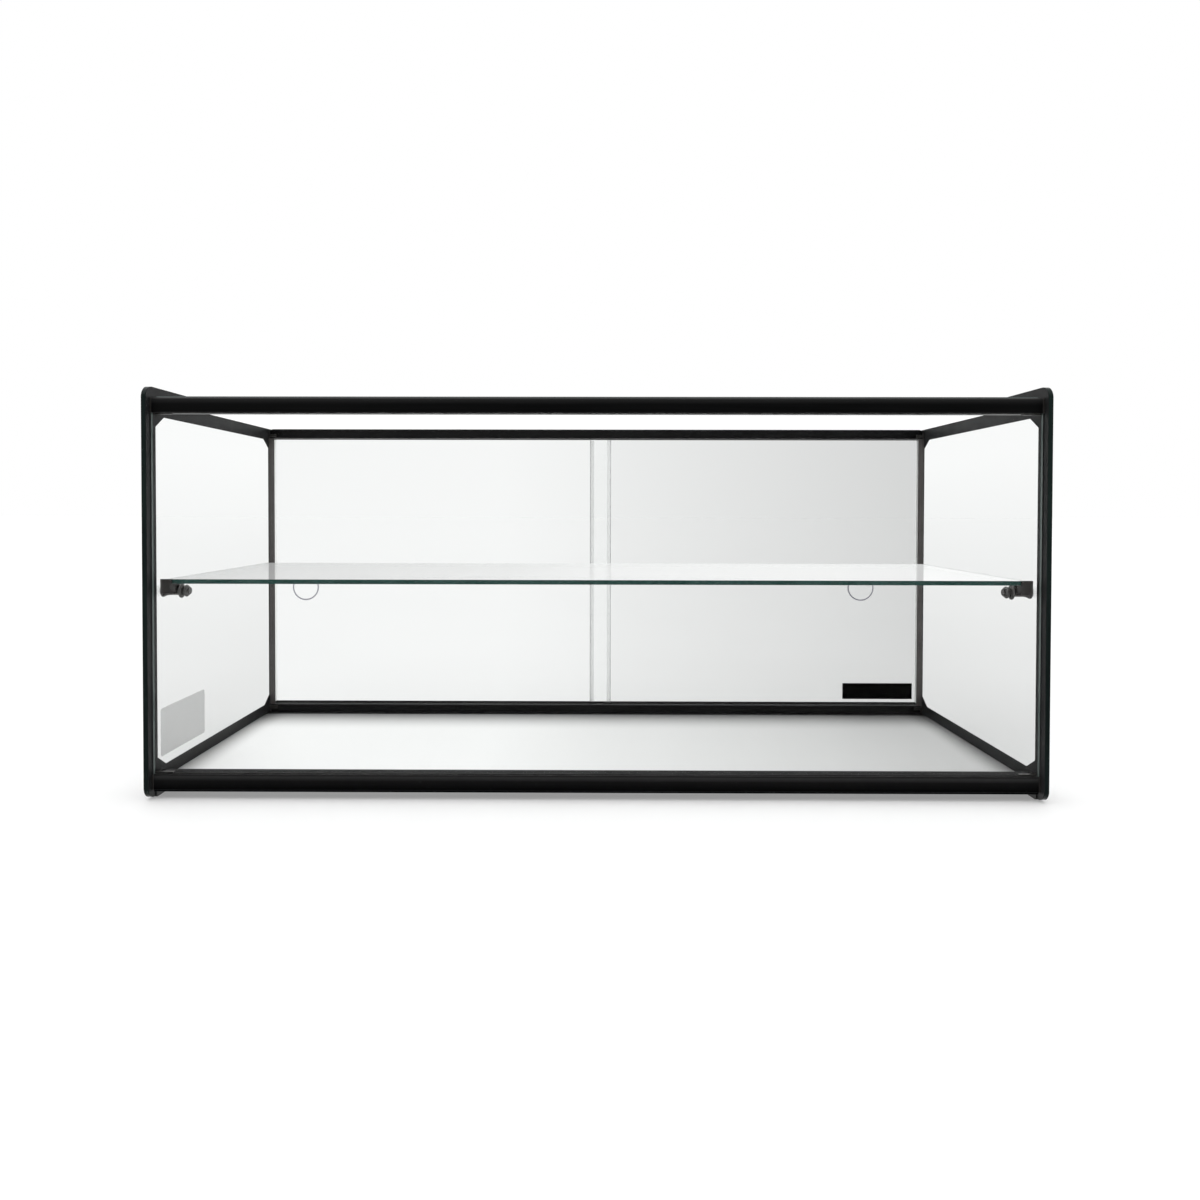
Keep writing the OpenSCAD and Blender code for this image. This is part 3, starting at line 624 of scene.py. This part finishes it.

# Sliding doors with a ground finger dish in the rear face, and painted shade in the glass that darkens to the
# right; where they overlap, each has half of the shade
doors = {
    "left": {"dishX": -405.6 * mm,
             "shades": ((-0.13, 0.838), (-0.0074, 0.80), (-0.0072, 0.89), (0.022, 0.885))},
    "right": {"dishX": 372.6 * mm,
              "shades": ((-0.0075, 0.89), (0.0214, 0.885), (0.0216, 0.76), (0.45, 0.605))},
}
dish = {"radius": 17.5 * mm, "depth": 1.8 * mm, "z": 187 * mm, "rim": 0.8 * mm, "onRim": 0.2 * mm,
        "segments": 96, "rings": 180}
dishBall = (dish["radius"] ** 2 + dish["depth"] ** 2) / (2 * dish["depth"])
for side, values in doors.items():
    nodeName = side + "_door_pane"
    low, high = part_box(nodeName)
    doorGlass = clearGlass(side + "DoorGlass", glass["upright"], values["shades"])
    door = addBlock(side + "DoorGlass", low, high)
    bevelEdges(door, lambda a, b: True, arris)
    deselectAll()
    middle = Vector((values["dishX"], high.y, dish["z"]))
    bpy.ops.mesh.primitive_uv_sphere_add(segments=dish["segments"], ring_count=dish["rings"], radius=dishBall,
                                         location=middle + Vector((0, dishBall - dish["depth"], 0)),
                                         rotation=(math.pi / 2, 0, 0))
    cutAway(door, nameNew("dishCutter"))

    def onRim(a, b):
        return all(abs((p - middle).length - dish["radius"]) < dish["onRim"] and abs(p.y - high.y) < tiny
                   for p in (a, b))

    bevelEdges(door, onRim, dish["rim"])
    paintFaces(door, 1, isEdgeFace(1))
    for face in door.data.polygons:
        corners = [(door.data.vertices[i].co - middle).length for i in face.vertices]
        if max(corners) < dish["radius"] + 2 * dish["rim"]:
            face.material_index = 2 if min(corners) > dish["radius"] - 2 * dish["rim"] else 0
    finishPiece(door, side + "_door", "clear_glass", [doorGlass, doorEdge, dishRim], nodeName, smoothBelow=5)
print("doors done")

# Side panes: round corners, screw holes, and the enamelled border fired on the inner face
sidePane = {
    "corner": 12 * mm, "cornerSteps": 16, "clearOfSkin": 0.02 * mm, "holeRadius": 3.3 * mm, "cutter": 20 * mm,
    "window": (-155 * mm, 147 * mm, 28.5 * mm, 391.5 * mm), "slantY": 17 * mm, "slantZ": 11 * mm,
    "holes": [(y * mm, z * mm) for y in (-154.1, 152.45) for z in (17.75, 399.95)]
             + [(y * mm, 210.85 * mm) for y in (-141, 121.7)],
    # painted shade by height: the panes are darker towards the bottom
    "shades": {"left": ((0.06, 0.735), (0.36, 0.868)), "right": ((0.06, 0.69), (0.36, 0.86))},  # by height
}
for side, sign in (("left", -1), ("right", 1)):
    shades = sidePane["shades"][side]
    sideInside = clearGlass(side + "SideInside", glass["other"], shades, "Z")
    sideOutside = clearGlass(side + "SideOutside", glass["other"], shades, "Z", coat=glass["outerCoat"])
    nodeName = side + "_side_pane"
    low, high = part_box(nodeName)
    inner = min(abs(low.x), abs(high.x)) + sidePane["clearOfSkin"]
    if sign > 0:
        low.x = inner
    else:
        high.x = -inner
    pane = addBlock(side + "SideGlass", low, high)
    bevelEdges(pane, throughPane(0), sidePane["corner"], sidePane["cornerSteps"])
    bevelEdges(pane, aroundPane(0), arris)
    paintFaces(pane, 1, isEdgeFace(0))
    front, rear, bottom, top = sidePane["window"]
    slantY, slantZ = sidePane["slantY"], sidePane["slantZ"]
    planes = [((front, 0), (1, 0)), ((rear, 0), (1, 0)), ((0, bottom), (0, 1)), ((0, top), (0, 1))]
    planes += [((front + slantY, bottom), (slantZ, slantY)), ((front + slantY, top), (slantZ, -slantY)),
               ((rear - slantY, bottom), (-slantZ, slantY)), ((rear - slantY, top), (-slantZ, -slantY))]

    def onInside(centre, normal):
        return normal.x * sign < -nearAxis

    for (y, z), (ny, nz) in planes:
        pickFaces(pane, onInside)
        bpy.ops.mesh.bisect(plane_co=(0, y, z), plane_no=(0, ny, nz))
        bpy.ops.object.mode_set(mode="OBJECT")

    def onBorder(centre, normal):
        y = min(centre.y - front, rear - centre.y)
        z = min(centre.z - bottom, top - centre.z)
        inWindow = y > 0 and z > 0 and y / slantY + z / slantZ > 1
        return onInside(centre, normal) and not inWindow

    paintFaces(pane, 2, onBorder)
    paintFaces(pane, 3, lambda centre, normal: normal.x * sign > nearAxis)
    for y, z in sidePane["holes"]:
        centre = ((low.x + high.x) / 2, y, z)
        cutAway(pane, addRod("holeCutter", centre, sidePane["holeRadius"], sidePane["cutter"]))
    materials = [sideInside, darkEdge, finishes["black_enamel"], sideOutside]
    finishPiece(pane, "case", "clear_glass", materials, nodeName, smoothBelow=20)
print("side panes done")

# Solid pieces: the CAD shape with its sharp edges eased, and a mask of the eased edges for their lighter
# colour: wear, and a painted highlight on the rounded rail fronts
easing = {
    "black_anodised": 0.35 * mm, "black_plastic": 0.25 * mm, "black_rubber": 0.3 * mm,
    "clear_strip": 0.25 * mm, "black_screw": 0.2 * mm,
}
easeSettings = {"weld": 0.002 * mm, "flatBelow": 1, "sharpAbove": 40, "segments": 2, "normalWeight": 90}
leftPlain = ("tape", "gasket")  # thin seals stay as they are
frontRounding = {"front_top_rail": 3.4 * mm, "front_bottom_rail": 1.4 * mm}
roundingSteps = 6
railFoot = {"front_bottom_rail": 1.9 * mm}  # how far the underside of a rail reaches further down
jambWall = 449 * mm  # the wall of each jamb beside the doors lies further out than this


def roundFront(piece, nodeName):  # upper front edge of a rail
    low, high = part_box(nodeName)

    def onEdge(a, b):
        return all(abs(p.y - low.y) < tiny and abs(p.z - high.z) < tiny for p in (a, b))

    bevelEdges(piece, onEdge, frontRounding[nodeName], roundingSteps)
    # the rounding takes the lighter edge colour: a painted highlight band
    for face in piece.data.polygons:
        face.material_index = 1 if face.select else 0


def lowerFoot(piece, nodeName):
    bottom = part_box(nodeName)[0].z
    pickFaces(piece, lambda centre, normal: normal.z < -nearAxis and centre.z < bottom + tiny)
    bpy.ops.transform.translate(value=(0, 0, -railFoot[nodeName]))
    bpy.ops.object.mode_set(mode="OBJECT")


def easedCopy(nodeName, width):
    words = nodeName.split("_")
    name = words[0] + "".join(word.capitalize() for word in words[1:])
    piece = bpy.data.objects.new(name, nodes[nodeName].data.copy())
    bpy.context.scene.collection.objects.link(piece)
    makeActive(piece)
    bpy.ops.object.mode_set(mode="EDIT")
    bpy.ops.mesh.select_all(action="SELECT")
    bpy.ops.mesh.remove_doubles(threshold=easeSettings["weld"])
    bpy.ops.mesh.dissolve_limited(angle_limit=math.radians(easeSettings["flatBelow"]))
    bpy.ops.object.mode_set(mode="OBJECT")
    piece.data.materials.append(None)  # second slot, which marks the eased faces
    if nodeName in frontRounding:
        roundFront(piece, nodeName)
    if nodeName in railFoot:
        lowerFoot(piece, nodeName)
    ease = piece.modifiers.new("ease", "BEVEL")
    ease.width = width
    ease.segments = easeSettings["segments"]
    ease.limit_method = "ANGLE"
    ease.angle_limit = math.radians(easeSettings["sharpAbove"])
    ease.material = 1
    bpy.ops.object.modifier_apply(modifier=ease.name)
    return piece


def markEasedEdges(piece):
    mask = piece.data.attributes.new("easedEdge", "FLOAT", "FACE")
    for face in piece.data.polygons:
        mask.data[face.index].value = 1.0 if face.material_index == 1 else 0.0
        face.material_index = 0


def facesDoorEnd(centre, normal):  # wall of a jamb beside the doors
    return abs(normal.x) > nearAxis and normal.x * centre.x < 0 and abs(centre.x) > jambWall


def flattenShading(piece):
    flat = piece.modifiers.new("flat", "WEIGHTED_NORMAL")
    flat.keep_sharp = True
    flat.weight = easeSettings["normalWeight"]
    makeActive(piece)
    bpy.ops.object.modifier_apply(modifier=flat.name)


bodies = frame["record"]["behaviour"]["bodies"]
for nodeName, slotName in nodeSlots.items():
    if slotName in easing and nodeName.split("_")[-1] not in leftPlain:
        body = next(name for name, members in bodies.items() if nodeName in members)
        piece = easedCopy(nodeName, easing[slotName])
        markEasedEdges(piece)
        materials = [ownFinishes.get(nodeName, finishes[slotName])]
        if nodeName.endswith("jamb"):
            # the jamb wall beside the doors gets the painted light strip
            paintFaces(piece, 1, facesDoorEnd)
            materials.append(jambLightFinish)
        if nodeName.endswith("rings"):  # one node holds those of all pegs; the rear pegs are clear
            paintFaces(piece, 1, lambda centre, normal: centre.y > 0)
            materials.append(nylonFinish)
        finishPiece(piece, body, slotName, materials, nodeName)
        flattenShading(piece)
print("solid pieces eased")

# Two bare labels; low and high corners are in millimetres
labelEdge = 0.05 * mm
cornerSteps = 5
labels = {
    "sideLabel": {"low": (-452, -148, 38), "high": (-451.75, -48.5, 88.2), "thin": 0, "corner": 3 * mm,
                  "body": "case", "slot": "clear_strip", "finish": greyLabel()},
    "doorPlate": {"low": (347, 166, 31.1), "high": (444.2, 166.3, 53.3), "thin": 1, "corner": 0.6 * mm,
                  "body": "right_door", "slot": "black_plastic", "finish": blackPlate()},
}
for name, values in labels.items():
    thin = values["thin"]
    label = addBlock(name, Vector(values["low"]) * mm, Vector(values["high"]) * mm)
    bevelEdges(label, throughPane(thin), values["corner"], cornerSteps)
    bevelEdges(label, aroundPane(thin), labelEdge)
    finishPiece(label, values["body"], values["slot"], [values["finish"]])
print("labels done")

# Studio: pale floor, soft light from above and from the left, camera at the angle of the photo
studio = {
    "floorSize": 60, "floorColour": (0.654, 0.654, 0.654), "floorShade": 0.985, "floorGlow": 0.27,
    "levels": ((-0.9, 0.018), (-0.3, 0.7), (0.3, 1.0)),  # brightness by how far a direction points back
    "leftToRight": (0.14, 0.02),  # brightness of both sides
    "across": (-0.5, 0.5),  # the sideways directions between which it changes
    "above": 0.9, "upwards": (0.35, 0.85),  # brightness overhead, and the directions where it sets in
    "evenLight": 0.23,  # added for matt surfaces, which are lit from all round
    "behindGlass": 0.12,  # added behind glass, to be as bright there as the lit floor
    "sun": 0.8, "sunAngle": 80, "sunTilt": (12, -14),
}
camera = {"place": (-0.0005, -1.030, 0.2963), "turn": (89.02, -0.1, 0.31), "lens": 25.60, "sensor": 36,
          "shift": (0.0079, -0.0632)}


def paleFloor():
    deselectAll()
    bpy.ops.mesh.primitive_plane_add(size=studio["floorSize"])
    floor = nameNew("floor")
    material, tree, shader = newMaterial("paleFloor", {  # glows, so that the shadow under the case stays soft
        "Roughness": 0.8, "Specular IOR Level": 0.1, "Emission Color": (1, 1, 1, 1),
        "Emission Strength": studio["floorGlow"]})
    shaded = [c * studio["floorShade"] for c in studio["floorColour"]]
    clouds = noiseMask(tree, scale=3)
    tree.links.new(mixColours(tree, clouds, shaded, studio["floorColour"]), shader.inputs["Base Color"])
    floor.data.materials.append(material)
    floor.visible_glossy = False  # black rails mirror the dim side of the studio instead
    floor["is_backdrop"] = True


def softWorld():
    world = bpy.data.worlds.new("studio")
    bpy.context.scene.world = world
    world.use_nodes = True
    tree = world.node_tree
    tree.nodes.clear()
    link = tree.links.new
    place = addNode(tree, "ShaderNodeTexCoord")
    axes = addNode(tree, "ShaderNodeSeparateXYZ")
    behind = setInputs(addNode(tree, "ShaderNodeMapRange"), {"From Min": -1.0, "From Max": 1.0})
    level = addNode(tree, "ShaderNodeValToRGB")
    level.color_ramp.elements.new(0.5)
    for element, (y, value) in zip(level.color_ramp.elements, studio["levels"]):
        element.position = (y + 1) / 2
        element.color = (value, value, value, 1)
    lower, upper = studio["upwards"]
    above = setInputs(addNode(tree, "ShaderNodeMapRange", interpolation_type="SMOOTHSTEP"),
                      {"From Min": lower, "From Max": upper, "To Min": 0.0, "To Max": studio["above"]})
    left, right = studio["across"]
    leftLevel, rightLevel = studio["leftToRight"]
    across = setInputs(addNode(tree, "ShaderNodeMapRange"),
                       {"From Min": left, "From Max": right, "To Min": leftLevel, "To Max": rightLevel})
    sideways = addNode(tree, "ShaderNodeMath", operation="MAXIMUM")
    brighter = addNode(tree, "ShaderNodeMath", operation="MAXIMUM")
    path = addNode(tree, "ShaderNodeLightPath")
    even = addNode(tree, "ShaderNodeMath", operation="MULTIPLY_ADD")
    even.inputs[1].default_value = studio["evenLight"]
    through = addNode(tree, "ShaderNodeMath", operation="MULTIPLY_ADD")
    through.inputs[1].default_value = studio["behindGlass"]
    seen = addNode(tree, "ShaderNodeMath", operation="MAXIMUM")
    back = setInputs(addNode(tree, "ShaderNodeBackground"), {"Color": (1, 1, 1, 1)})
    output = addNode(tree, "ShaderNodeOutputWorld")
    link(place.outputs["Object"], axes.inputs["Vector"])
    link(axes.outputs["X"], across.inputs["Value"])
    link(axes.outputs["Y"], behind.inputs["Value"])
    link(axes.outputs["Z"], above.inputs["Value"])
    link(behind.outputs["Result"], level.inputs[0])
    link(level.outputs["Color"], sideways.inputs[0])
    link(across.outputs["Result"], sideways.inputs[1])
    link(sideways.outputs[0], brighter.inputs[0])
    link(above.outputs["Result"], brighter.inputs[1])
    link(path.outputs["Is Diffuse Ray"], even.inputs[0])
    link(brighter.outputs[0], even.inputs[2])
    link(path.outputs["Is Transmission Ray"], through.inputs[0])
    link(even.outputs[0], through.inputs[2])
    link(through.outputs[0], seen.inputs[0])
    link(path.outputs["Is Camera Ray"], seen.inputs[1])
    link(seen.outputs[0], back.inputs["Strength"])
    link(back.outputs["Background"], output.inputs["Surface"])


def softSun():
    light = bpy.data.lights.new("overhead", "SUN")
    light.energy = studio["sun"]
    light.angle = math.radians(studio["sunAngle"])
    lamp = bpy.data.objects.new("overhead", light)
    bpy.context.scene.collection.objects.link(lamp)
    lamp.rotation_euler = [math.radians(angle) for angle in (*studio["sunTilt"], 0)]


def levelCamera():
    data = bpy.data.cameras.new("camera")
    data.lens, data.sensor_width = camera["lens"], camera["sensor"]
    data.shift_x, data.shift_y = camera["shift"]
    eye = bpy.data.objects.new("camera", data)
    bpy.context.scene.collection.objects.link(eye)
    eye.location = camera["place"]
    eye.rotation_euler = [math.radians(angle) for angle in camera["turn"]]
    bpy.context.scene.camera = eye


paleFloor()
softWorld()
softSun()
levelCamera()
bpy.context.scene.view_settings.view_transform = "Standard"
print("studio done")

low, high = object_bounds()
